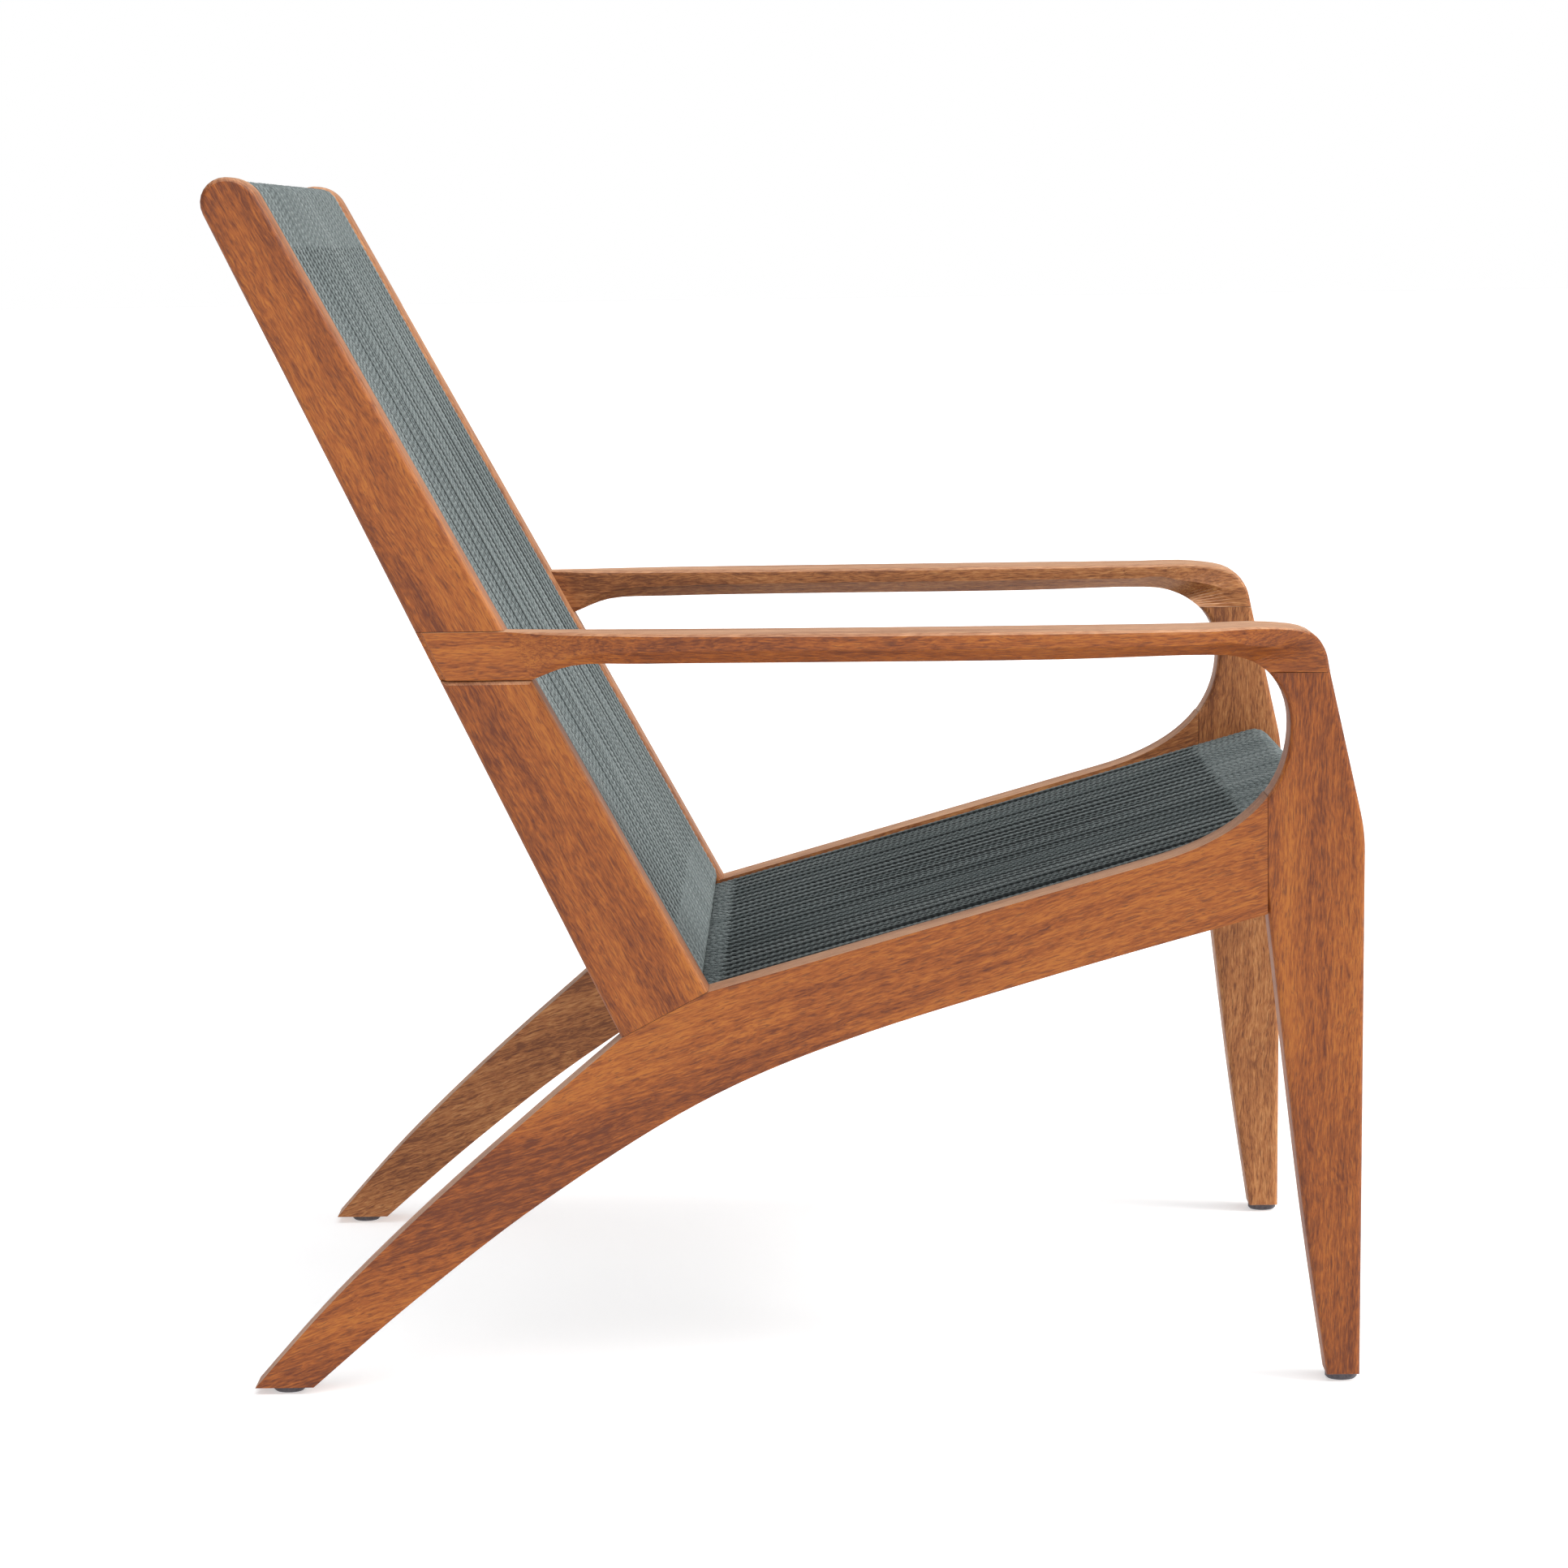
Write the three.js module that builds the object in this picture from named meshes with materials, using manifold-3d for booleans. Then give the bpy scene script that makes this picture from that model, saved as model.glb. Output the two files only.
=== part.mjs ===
// A lounge armchair: two arched hardwood side frames joined by four cross rails,
// with a seat and a back of cord wound around the rails.
//
// Millimetres, +Z up. The chair faces -Y and stands on the floor at z = 0, with the
// origin under the middle of it. Pieces are drawn in a profile frame (x forward,
// y up, z towards the sitter's right) and one group turns that frame into the world.

import * as THREE from 'three';
import { mergeVertices } from 'three/addons/utils/BufferGeometryUtils.js';
import Module from 'manifold-3d';

const wasm = await Module();
wasm.setup();

// ---------------------------------------------------------------- driving dimensions

const CLEAR_WIDTH = 552; // between the two side frames
const FRAME_THICKNESS = 35;
const BACK_HEIGHT = 827;
const ARM_TOP = 521.5;
const ARM_LAP_BOTTOM = 488.6;
const ARM_LAP_DEPTH = 22;
const LEG_TOP = 487;
const GLIDE_HEIGHT = 5;
const GLIDE_RADIUS = 11;
const GAP = 0.3; // between neighbours that touch

const INNER = CLEAR_WIDTH / 2;
const OUTER = INNER + FRAME_THICKNESS;

// Back stile: front and rear corner of its foot, and how far each edge leans back.
const STILE_FRONT_FOOT = at(-57.9, 275);
const STILE_REAR_FOOT = at(-117.5, 244);
const STILE_FRONT_LEAN = 0.542;
const STILE_REAR_LEAN = 0.4827;

// Side rail and front leg meet on an upright plane under the arm opening's front end.
const SEAT_RISE = 0.2783;
const RAIL_LEG_JOINT = 321;
const ARCH_CROWN = 323.5; // underside of the rail at that joint
const SEAT_BEND = at(243, 358.7);
const OPENING_FRONT = at(336.5, 452);
const OPENING_TOP = at(280, 501.7);

// Cord and the rails that it is wound on; depths are from the frame's front or top edge.
const CORD_RECESS = 1.5;
const CORD_DIAMETER = 5;
const RAIL_DEPTH = CORD_RECESS + CORD_DIAMETER + GAP;
const BACK_RAIL_THICKNESS = 20;
const SEAT_RAIL_THICKNESS = 24;
const CREST_RAIL = [570, 627];
const LOWER_BACK_RAIL = [5.8, 50];
const REAR_SEAT_RAIL = [-36, 13];
const FRONT_SEAT_RAIL = [381, 443.5];
const RAIL_CORNER = 9;
const CREASE_CORNER = 3; // the lower back rail's corner above the back of the seat
const CORD_SIDE_GAP = 1.5;

// Dowels and loose tenons.
const DOWEL_RADIUS = 4;
const DOWEL_ACROSS = OUTER - 12;
const TENON_WIDTH = 28;
const TENON_THICKNESS = 8;
const TENON_IN_FRAME = 16;
const TENON_IN_RAIL = 24;

// ---------------------------------------------------------------- materials

function wood(colour) {
  return new THREE.MeshStandardMaterial({ color: colour, roughness: 0.5, metalness: 0 });
}

const FRAME_WOOD = 0xa0603a;
const ARM_WOOD = 0xa86a42;
const HIDDEN_WOOD = 0xc79a6b;

function cordMaterial() {
  return new THREE.MeshStandardMaterial({ color: 0x7b8888, roughness: 0.9, metalness: 0 });
}

function glideMaterial() {
  return new THREE.MeshStandardMaterial({ color: 0x4b474d, roughness: 0.6, metalness: 0 });
}

function steelMaterial() {
  return new THREE.MeshStandardMaterial({ color: 0xb4b6b8, roughness: 0.35, metalness: 1 });
}

// ---------------------------------------------------------------- drawing helpers

function at(x, y) {
  return new THREE.Vector2(x, y);
}

// Points of a smooth curve through a few places.
function smooth(places, steps) {
  return new THREE.SplineCurve(places).getPoints(steps);
}

// Points of the arc that rounds a corner between two straight edges.
function fillet(before, corner, after, radius, steps) {
  const inward = before.clone().sub(corner).normalize();
  const outward = after.clone().sub(corner).normalize();
  const half = Math.acos(inward.dot(outward)) / 2;
  const bisector = inward.clone().add(outward).normalize();
  const centre = corner.clone().addScaledVector(bisector, radius / Math.sin(half));
  const start = corner.clone().addScaledVector(inward, radius / Math.tan(half)).sub(centre);
  const end = corner.clone().addScaledVector(outward, radius / Math.tan(half)).sub(centre);
  const turn = Math.atan2(start.cross(end), start.dot(end));
  const points = [];
  for (let i = 0; i <= steps; i += 1) {
    points.push(start.clone().rotateAround(at(0, 0), (turn * i) / steps).add(centre));
  }
  return points;
}

// Drops points that repeat, so an outline has no edge of zero length.
function outline(...stretches) {
  const points = stretches.flat();
  return points.filter((point, i) => {
    const next = points[(i + 1) % points.length];
    return point.distanceTo(next) > 0.05;
  });
}

// A flat piece: an outline in the profile plane, given its thickness across the chair.
function slab(points, low, high, hole = null) {
  const shape = new THREE.Shape(points);
  if (hole) {
    shape.holes.push(new THREE.Path(hole));
  }
  const geometry = new THREE.ExtrudeGeometry(shape, { depth: high - low, bevelEnabled: false });
  geometry.translate(0, 0, low);
  return geometry;
}

function welded(geometry) {
  const bare = geometry.clone();
  bare.deleteAttribute('normal');
  bare.deleteAttribute('uv');
  return mergeVertices(bare, 1e-3);
}

function toSolid(geometry) {
  const bare = welded(geometry);
  return new wasm.Manifold(new wasm.Mesh({
    numProp: 3,
    vertProperties: new Float32Array(bare.attributes.position.array),
    triVerts: new Uint32Array(bare.index.array),
  }));
}

function toGeometry(solid) {
  const mesh = solid.getMesh();
  const geometry = new THREE.BufferGeometry();
  geometry.setAttribute('position', new THREE.BufferAttribute(mesh.vertProperties, 3));
  geometry.setIndex(new THREE.BufferAttribute(mesh.triVerts, 1));
  geometry.computeVertexNormals();
  return geometry;
}

function cut(geometry, tools) {
  const remainder = tools.reduce((solid, tool) => solid.subtract(toSolid(tool)), toSolid(geometry));
  return toGeometry(remainder);
}

// The same piece for the other side of the chair.
function mirrored(geometry) {
  const other = welded(geometry);
  other.scale(1, 1, -1);
  const corners = other.index.array;
  for (let i = 0; i < corners.length; i += 3) {
    [corners[i], corners[i + 1]] = [corners[i + 1], corners[i]];
  }
  other.computeVertexNormals();
  return other;
}

// A round rod between two places.
function rod(from, to, radius) {
  const axis = to.clone().sub(from);
  const geometry = new THREE.CylinderGeometry(radius, radius, axis.length(), 16);
  const upright = new THREE.Vector3(0, 1, 0);
  const turn = new THREE.Quaternion().setFromUnitVectors(upright, axis.clone().normalize());
  geometry.applyQuaternion(turn);
  geometry.translate(...from.clone().add(to).multiplyScalar(0.5).toArray());
  return geometry;
}

// ---------------------------------------------------------------- places on the frame

function stileFront(height) {
  return at(STILE_FRONT_FOOT.x - (height - STILE_FRONT_FOOT.y) * STILE_FRONT_LEAN, height);
}

function stileRear(height) {
  return at(STILE_REAR_FOOT.x - (height - STILE_REAR_FOOT.y) * STILE_REAR_LEAN, height);
}

const BACK_ALONG = at(-STILE_FRONT_LEAN, 1).normalize();
const BACK_INTO = at(-BACK_ALONG.y, BACK_ALONG.x);
const SEAT_ALONG = at(1, SEAT_RISE).normalize();
const SEAT_INTO = at(SEAT_ALONG.y, -SEAT_ALONG.x);

// A place given by its distance up the back and its depth behind the stile's front edge.
function onBack(along, depth) {
  return STILE_FRONT_FOOT.clone().addScaledVector(BACK_ALONG, along).addScaledVector(BACK_INTO, depth);
}

// A place given by its distance along the seat and its depth under the rail's top edge.
function onSeat(along, depth) {
  return STILE_FRONT_FOOT.clone().addScaledVector(SEAT_ALONG, along).addScaledVector(SEAT_INTO, depth);
}

// ---------------------------------------------------------------- joints

// Every dowel as [name, from, to]; the pieces it joins get a hole for it.
const STILE_JOINT_ALONG = STILE_FRONT_FOOT.clone().sub(STILE_REAR_FOOT).normalize();
const STILE_JOINT_UP = at(-STILE_JOINT_ALONG.y, STILE_JOINT_ALONG.x);
const STILE_DOWEL_PLACES = [21, 49];
const STILE_DOWEL_REACH = 24;
const RAIL_DOWEL_HEIGHTS = [338, 370];
const RAIL_DOWEL_REACH = 22;
const ARM_DOWEL_FORWARD = 343;
const ARM_DOWEL_REACH = 17;

function across(point, side) {
  return new THREE.Vector3(point.x, point.y, side);
}

function stileDowels() {
  return STILE_DOWEL_PLACES.map((place) => {
    const middle = STILE_REAR_FOOT.clone().addScaledVector(STILE_JOINT_ALONG, place);
    const low = middle.clone().addScaledVector(STILE_JOINT_UP, -STILE_DOWEL_REACH);
    const high = middle.clone().addScaledVector(STILE_JOINT_UP, STILE_DOWEL_REACH);
    return [across(low, DOWEL_ACROSS), across(high, DOWEL_ACROSS)];
  });
}

function railDowels() {
  return RAIL_DOWEL_HEIGHTS.map((height) => [
    across(at(RAIL_LEG_JOINT - RAIL_DOWEL_REACH, height), DOWEL_ACROSS),
    across(at(RAIL_LEG_JOINT + RAIL_DOWEL_REACH, height), DOWEL_ACROSS),
  ]);
}

function armDowel() {
  const middle = INNER + FRAME_THICKNESS / 2;
  return [
    across(at(ARM_DOWEL_FORWARD, LEG_TOP - ARM_DOWEL_REACH), middle),
    across(at(ARM_DOWEL_FORWARD, LEG_TOP + ARM_DOWEL_REACH), middle),
  ];
}

function lapDowel() {
  const height = (ARM_TOP + ARM_LAP_BOTTOM) / 2;
  const place = stileFront(height).lerp(stileRear(height), 0.5);
  return [across(place, INNER + 4), across(place, OUTER - 6)];
}

function dowelHole([from, to]) {
  const reach = to.clone().sub(from).setLength(GAP);
  return rod(from.clone().sub(reach), to.clone().add(reach), DOWEL_RADIUS + GAP);
}

// The outline of a loose tenon in the middle of a rail, with a margin for its mortise.
function tenonOutline(place, [low, high], thickness, margin) {
  const middle = (low + high) / 2;
  const depth = RAIL_DEPTH + thickness / 2;
  const halfWidth = TENON_WIDTH / 2 + margin;
  const halfThickness = TENON_THICKNESS / 2 + margin;
  return [
    place(middle - halfWidth, depth + halfThickness),
    place(middle - halfWidth, depth - halfThickness),
    place(middle + halfWidth, depth - halfThickness),
    place(middle + halfWidth, depth + halfThickness),
  ];
}

function counterclockwise(points) {
  return THREE.ShapeUtils.isClockWise(points) ? [...points].reverse() : points;
}

function tenon(place, reach, thickness, margin) {
  const points = counterclockwise(tenonOutline(place, reach, thickness, margin));
  return slab(points, INNER - TENON_IN_RAIL - margin, INNER + TENON_IN_FRAME + margin);
}

// The lower back rail's underside follows the seat: it rises with depth behind the cord.
const CREASE_SLOPE = BACK_ALONG.dot(SEAT_ALONG) / BACK_INTO.dot(SEAT_ALONG);

const CROSS_RAILS = [
  { name: 'crest_rail', place: onBack, reach: CREST_RAIL, thickness: BACK_RAIL_THICKNESS },
  {
    name: 'lower_back_rail',
    place: onBack,
    reach: LOWER_BACK_RAIL,
    thickness: BACK_RAIL_THICKNESS,
    slope: CREASE_SLOPE,
    lowCorner: CREASE_CORNER,
  },
  { name: 'rear_seat_rail', place: onSeat, reach: REAR_SEAT_RAIL, thickness: SEAT_RAIL_THICKNESS },
  { name: 'front_seat_rail', place: onSeat, reach: FRONT_SEAT_RAIL, thickness: SEAT_RAIL_THICKNESS },
];

function mortises(names) {
  const rails = CROSS_RAILS.filter((rail) => names.includes(rail.name));
  return rails.map((rail) => tenon(rail.place, rail.reach, rail.thickness, GAP));
}

// ---------------------------------------------------------------- side frame pieces

function backStile() {
  const top = BACK_HEIGHT;
  const frontFoot = STILE_FRONT_FOOT.clone().addScaledVector(STILE_JOINT_UP, GAP);
  const rearFoot = STILE_REAR_FOOT.clone().addScaledVector(STILE_JOINT_UP, GAP);
  const points = outline(
    [rearFoot, frontFoot],
    fillet(stileFront(600), stileFront(top), stileRear(top), 24, 8),
    fillet(stileFront(top), stileRear(top), stileRear(600), 17, 8),
  );
  const notch = slab([
    at(-400, ARM_LAP_BOTTOM - GAP),
    at(-100, ARM_LAP_BOTTOM - GAP),
    at(-100, ARM_TOP + GAP),
    at(-400, ARM_TOP + GAP),
  ], OUTER - ARM_LAP_DEPTH - GAP, OUTER + 10);
  return cut(slab(points, INNER, OUTER), [
    notch,
    ...stileDowels().map(dowelHole),
    dowelHole(lapDowel()),
    ...mortises(['crest_rail', 'lower_back_rail']),
  ]);
}

// The front end of the arm opening: from the seat line up and round to the arm.
const OPENING_LOWER = new THREE.CubicBezierCurve(
  SEAT_BEND,
  SEAT_BEND.clone().addScaledVector(SEAT_ALONG, 62),
  at(OPENING_FRONT.x, OPENING_FRONT.y - 48),
  OPENING_FRONT,
);
const OPENING_UPPER = new THREE.CubicBezierCurve(
  OPENING_FRONT,
  at(OPENING_FRONT.x, OPENING_FRONT.y + 32),
  at(OPENING_TOP.x + 32, OPENING_TOP.y),
  OPENING_TOP,
);

// Where a curve reaches a given value along one axis.
function reaches(curve, axis, value) {
  let low = 0;
  let high = 1;
  const rising = curve.getPoint(1)[axis] > curve.getPoint(0)[axis];
  for (let i = 0; i < 40; i += 1) {
    const middle = (low + high) / 2;
    if (curve.getPoint(middle)[axis] < value === rising) {
      low = middle;
    } else {
      high = middle;
    }
  }
  return low;
}

function stretch(curve, from, to, steps) {
  const points = [];
  for (let i = 0; i <= steps; i += 1) {
    points.push(curve.getPoint(from + ((to - from) * i) / steps));
  }
  return points;
}

// Seat rail and rear leg in one arch.
function sideRail() {
  const end = RAIL_LEG_JOINT - GAP / 2;
  const underside = smooth([
    at(end, ARCH_CROWN),
    at(177, 284),
    at(35, 241),
    at(-67, 198),
    at(-173, 132),
    at(-260, 66),
    at(-332, GLIDE_HEIGHT),
  ], 48);
  const legBack = smooth([
    at(-372, GLIDE_HEIGHT),
    at(-317, 65.5),
    at(-247.5, 132),
    at(-172.3, 197.8),
    STILE_REAR_FOOT,
  ], 24);
  const points = outline(
    underside,
    legBack,
    [STILE_FRONT_FOOT],
    stretch(OPENING_LOWER, 0, reaches(OPENING_LOWER, 'x', end), 14),
  );
  return cut(slab(counterclockwise(points), INNER, OUTER), [
    ...stileDowels().map(dowelHole),
    ...railDowels().map(dowelHole),
    nailHole(REAR_GLIDE_FORWARD),
    ...mortises(['rear_seat_rail']),
  ]);
}

function frontLeg() {
  const start = RAIL_LEG_JOINT + GAP / 2;
  const top = LEG_TOP - GAP / 2;
  const rearEdge = smooth([at(start, ARCH_CROWN), at(343.5, 126), at(360.5, GLIDE_HEIGHT)], 14);
  const frontFoot = at(383, GLIDE_HEIGHT);
  const frontKnee = at(387, 378);
  const frontTop = at(363.5, top);
  const points = outline(
    rearEdge,
    [frontFoot],
    fillet(frontFoot, frontKnee, frontTop, 120, 6),
    [frontTop],
    stretch(OPENING_UPPER, reaches(OPENING_UPPER, 'y', top), 0, 6),
    stretch(OPENING_LOWER, 1, reaches(OPENING_LOWER, 'x', start), 8),
  );
  return cut(slab(counterclockwise(points), INNER, OUTER), [
    ...railDowels().map(dowelHole),
    dowelHole(armDowel()),
    nailHole(FRONT_GLIDE_FORWARD),
    ...mortises(['front_seat_rail']),
  ]);
}

// ---------------------------------------------------------------- armrest

// Sections of the arm from the stile to the leg. Each has its top and bottom edge in
// the profile plane, how far its outer and inner side stand out from the frame's outer
// face, and the rise and run of the bevel under each side.
const ARM_SECTIONS = [
  { top: stileFront(ARM_TOP), bottom: stileFront(ARM_LAP_BOTTOM), out: 0, inn: -22, rise: 1.5, run: 1 },
  { top: at(-155, 521.2), bottom: at(-146, 498.5), out: 12, inn: -21, rise: 6, run: 5 },
  { top: at(-100, 520.8), bottom: at(-98, 500), out: 26, inn: -20, rise: 8.5, run: 9 },
  { top: at(15, 520.2), bottom: at(15, 500.3), out: 37, inn: -19, rise: 9, run: 12 },
  { top: at(180, 520), bottom: at(180, 500.2), out: 40, inn: -18, rise: 9, run: 13 },
  { top: at(270, 520), bottom: OPENING_UPPER.getPoint(1), out: 38, inn: -20, rise: 9, run: 14 },
  { top: at(322, 520.2), bottom: OPENING_UPPER.getPoint(0.82), out: 31, inn: -24, rise: 13, run: 18 },
  { top: at(349, 515), bottom: OPENING_UPPER.getPoint(0.66), out: 18, inn: -30, rise: 21, run: 16 },
  { top: at(359.5, 502.5), bottom: OPENING_UPPER.getPoint(0.56), out: 7, inn: -34, rise: 30, run: 6 },
  { top: at(363.5, LEG_TOP + GAP / 2), bottom: armJointRear(), out: 0, inn: -35, rise: 36, run: 1 },
];
const ARM_STEPS = 36;
const ARM_EDGE_RADIUS = 4;
const LAP_CORNER_RADIUS = 4.5;

function armJointRear() {
  const height = LEG_TOP + GAP / 2;
  return OPENING_UPPER.getPoint(reaches(OPENING_UPPER, 'y', height));
}

// One ring of the arm. Offsets across the chair are from the frame's outer face.
function armRing(top, bottom, out, inn, rise, run, radius) {
  const height = top.distanceTo(bottom);
  const up = top.clone().sub(bottom).normalize();
  const place = (offset, along) => across(bottom.clone().addScaledVector(up, along), OUTER + offset);
  const ring = [place(inn + run, 0), place(out - run, 0), place(out, rise)];
  for (let i = 0; i <= 3; i += 1) {
    const angle = (i * Math.PI) / 6;
    ring.push(place(out - radius + radius * Math.cos(angle), height - radius + radius * Math.sin(angle)));
  }
  for (let i = 3; i >= 0; i -= 1) {
    const angle = (i * Math.PI) / 6;
    ring.push(place(inn + radius - radius * Math.cos(angle), height - radius + radius * Math.sin(angle)));
  }
  ring.push(place(inn, rise));
  return ring;
}

// The half lap in the stile, rounded at its rear outer corner as the stile is.
function lapRings() {
  const rings = [];
  for (let i = 0; i <= 3; i += 1) {
    const angle = (i * Math.PI) / 6;
    const back = LAP_CORNER_RADIUS * (1 - Math.sin(angle));
    const inset = LAP_CORNER_RADIUS * (1 - Math.cos(angle));
    const top = stileRear(ARM_TOP);
    const bottom = stileRear(ARM_LAP_BOTTOM);
    top.x += LAP_CORNER_RADIUS - back;
    bottom.x += LAP_CORNER_RADIUS - back;
    rings.push(armRing(top, bottom, -LAP_CORNER_RADIUS + inset, -ARM_LAP_DEPTH, 0.8, 0.8, 0.8));
  }
  return rings;
}

// Rings of equal size joined into one closed skin.
function loft(rings) {
  const size = rings[0].length;
  const corners = rings.flat();
  const faces = [];
  for (let r = 0; r + 1 < rings.length; r += 1) {
    for (let i = 0; i < size; i += 1) {
      const a = r * size + i;
      const b = r * size + ((i + 1) % size);
      faces.push(a, a + size, b, b, a + size, b + size);
    }
  }
  const last = (rings.length - 1) * size;
  for (let i = 1; i + 1 < size; i += 1) {
    faces.push(0, i, i + 1, last, last + i + 1, last + i);
  }
  const geometry = new THREE.BufferGeometry();
  geometry.setAttribute('position', new THREE.Float32BufferAttribute(corners.flatMap((p) => p.toArray()), 3));
  geometry.setIndex(faces);
  return geometry;
}

function armrest() {
  const spatial = (pick) => new THREE.CatmullRomCurve3(ARM_SECTIONS.map(pick));
  const tops = spatial((s) => new THREE.Vector3(s.top.x, s.top.y, s.out));
  const bottoms = spatial((s) => new THREE.Vector3(s.bottom.x, s.bottom.y, s.inn));
  const bevels = spatial((s) => new THREE.Vector3(s.rise, s.run, 0));
  const rings = lapRings();
  for (let i = 0; i <= ARM_STEPS; i += 1) {
    const t = i / ARM_STEPS;
    const top = tops.getPoint(t);
    const bottom = bottoms.getPoint(t);
    const bevel = bevels.getPoint(t);
    const radius = Math.min(ARM_EDGE_RADIUS, 0.8 + i);
    rings.push(armRing(at(top.x, top.y), at(bottom.x, bottom.y), top.z, bottom.z, bevel.x, bevel.y, radius));
  }
  return cut(loft(rings), [dowelHole(armDowel()), dowelHole(lapDowel())]);
}

// ---------------------------------------------------------------- glides and nails

const FRONT_GLIDE_FORWARD = 371.7;
const REAR_GLIDE_FORWARD = -350;
const NAIL_RADIUS = 1.4;
const NAIL_TOP = 19;
const NAIL_BOTTOM = 1.5;

function nail(forward, margin) {
  const middle = INNER + FRAME_THICKNESS / 2;
  const low = new THREE.Vector3(forward, NAIL_BOTTOM - margin, middle);
  const high = new THREE.Vector3(forward, NAIL_TOP + margin, middle);
  return rod(low, high, NAIL_RADIUS + margin);
}

function nailHole(forward) {
  return nail(forward, GAP);
}

function glide(forward) {
  const chamfer = 1.4;
  const profile = [
    at(0, 0),
    at(GLIDE_RADIUS - chamfer, 0),
    at(GLIDE_RADIUS, chamfer),
    at(GLIDE_RADIUS, GLIDE_HEIGHT - GAP),
    at(0, GLIDE_HEIGHT - GAP),
  ];
  const geometry = new THREE.LatheGeometry(profile, 24);
  geometry.translate(forward, 0, INNER + FRAME_THICKNESS / 2);
  return cut(geometry, [nailHole(forward)]);
}

// ---------------------------------------------------------------- cross rails and cord

// The corners before and after one in a ring of corners.
function neighbours(corners, i) {
  return [corners[(i + corners.length - 1) % corners.length], corners[(i + 1) % corners.length]];
}

// Corners moved out so that every straight edge lies a margin further out.
function grown(corners, margin) {
  return corners.map((corner, i) => {
    const [inward, outward] = neighbours(corners, i).map((other) => other.clone().sub(corner).normalize());
    const half = Math.acos(inward.dot(outward)) / 2;
    return corner.clone().addScaledVector(inward.add(outward).normalize(), -margin / Math.sin(half));
  });
}

// A cross rail's section grown by a margin, with all four corners rounded.
function barSection({ place, reach, thickness, slope = 0, lowCorner = RAIL_CORNER }, margin) {
  const [low, high] = reach;
  const far = RAIL_DEPTH + thickness;
  const corners = grown([
    place(low, RAIL_DEPTH),
    place(high, RAIL_DEPTH),
    place(high, far),
    place(low + slope * thickness, far),
  ], margin);
  const arcs = corners.map((corner, i) => {
    const [before, after] = neighbours(corners, i);
    const radius = i === 0 ? lowCorner : RAIL_CORNER;
    return fillet(before, corner, after, radius + margin, 5);
  });
  return counterclockwise(outline(...arcs));
}

function crossRail(rail) {
  const half = INNER - GAP / 2;
  const mortise = tenon(rail.place, rail.reach, rail.thickness, GAP);
  return cut(slab(barSection(rail, 0), -half, half), [mortise, mirrored(mortise)]);
}

const CORD_HALF = INNER - CORD_SIDE_GAP;

// The cord where it is wound around a rail, one layer thick.
function cordWraps(rail) {
  const outside = barSection(rail, CORD_DIAMETER + GAP);
  const inside = barSection(rail, GAP);
  return slab(outside, -CORD_HALF, CORD_HALF, inside);
}

// A layer of cord that runs straight from one rail's wraps to the other's.
function cordRun(lowRail, highRail, depth) {
  const reach = CORD_DIAMETER + 2 * GAP;
  const low = lowRail.reach[1] + reach;
  const high = highRail.reach[0] - reach;
  const place = lowRail.place;
  const points = counterclockwise([
    place(low, depth),
    place(high, depth),
    place(high, depth + CORD_DIAMETER),
    place(low, depth + CORD_DIAMETER),
  ]);
  return slab(points, -CORD_HALF, CORD_HALF);
}

// ---------------------------------------------------------------- assembly

const FORWARD = new THREE.Vector3(0, -1, 0);
const UP = new THREE.Vector3(0, 0, 1);
const RIGHT = new THREE.Vector3(-1, 0, 0);

const group = new THREE.Group();
const chair = new THREE.Group();
chair.quaternion.setFromRotationMatrix(new THREE.Matrix4().makeBasis(FORWARD, UP, RIGHT));
chair.position.y = -1; // puts the middle of the outer box over the origin
group.add(chair);

function add(name, geometry, material) {
  const mesh = new THREE.Mesh(geometry, material);
  mesh.name = name;
  chair.add(mesh);
}

// Adds a piece to the sitter's right side and its mirror image to the left.
function addPair(name, geometry, material) {
  add(`right_${name}`, geometry, material);
  add(`left_${name}`, mirrored(geometry), material);
}

addPair('back_stile', backStile(), wood(FRAME_WOOD));
addPair('side_rail', sideRail(), wood(FRAME_WOOD));
addPair('front_leg', frontLeg(), wood(FRAME_WOOD));
addPair('armrest', armrest(), wood(ARM_WOOD));

stileDowels().forEach(([from, to], i) => {
  addPair(`stile_dowel_${i + 1}`, rod(from, to, DOWEL_RADIUS), wood(HIDDEN_WOOD));
});
railDowels().forEach(([from, to], i) => {
  addPair(`leg_dowel_${i + 1}`, rod(from, to, DOWEL_RADIUS), wood(HIDDEN_WOOD));
});
addPair('arm_dowel', rod(...armDowel(), DOWEL_RADIUS), wood(HIDDEN_WOOD));
addPair('arm_lap_dowel', rod(...lapDowel(), DOWEL_RADIUS), wood(HIDDEN_WOOD));

addPair('front_glide', glide(FRONT_GLIDE_FORWARD), glideMaterial());
addPair('rear_glide', glide(REAR_GLIDE_FORWARD), glideMaterial());
addPair('front_glide_nail', nail(FRONT_GLIDE_FORWARD, 0), steelMaterial());
addPair('rear_glide_nail', nail(REAR_GLIDE_FORWARD, 0), steelMaterial());

for (const rail of CROSS_RAILS) {
  add(rail.name, crossRail(rail), wood(FRAME_WOOD));
  addPair(`${rail.name}_tenon`, tenon(rail.place, rail.reach, rail.thickness, 0), wood(HIDDEN_WOOD));
  add(`${rail.name}_cord`, cordWraps(rail), cordMaterial());
}

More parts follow.
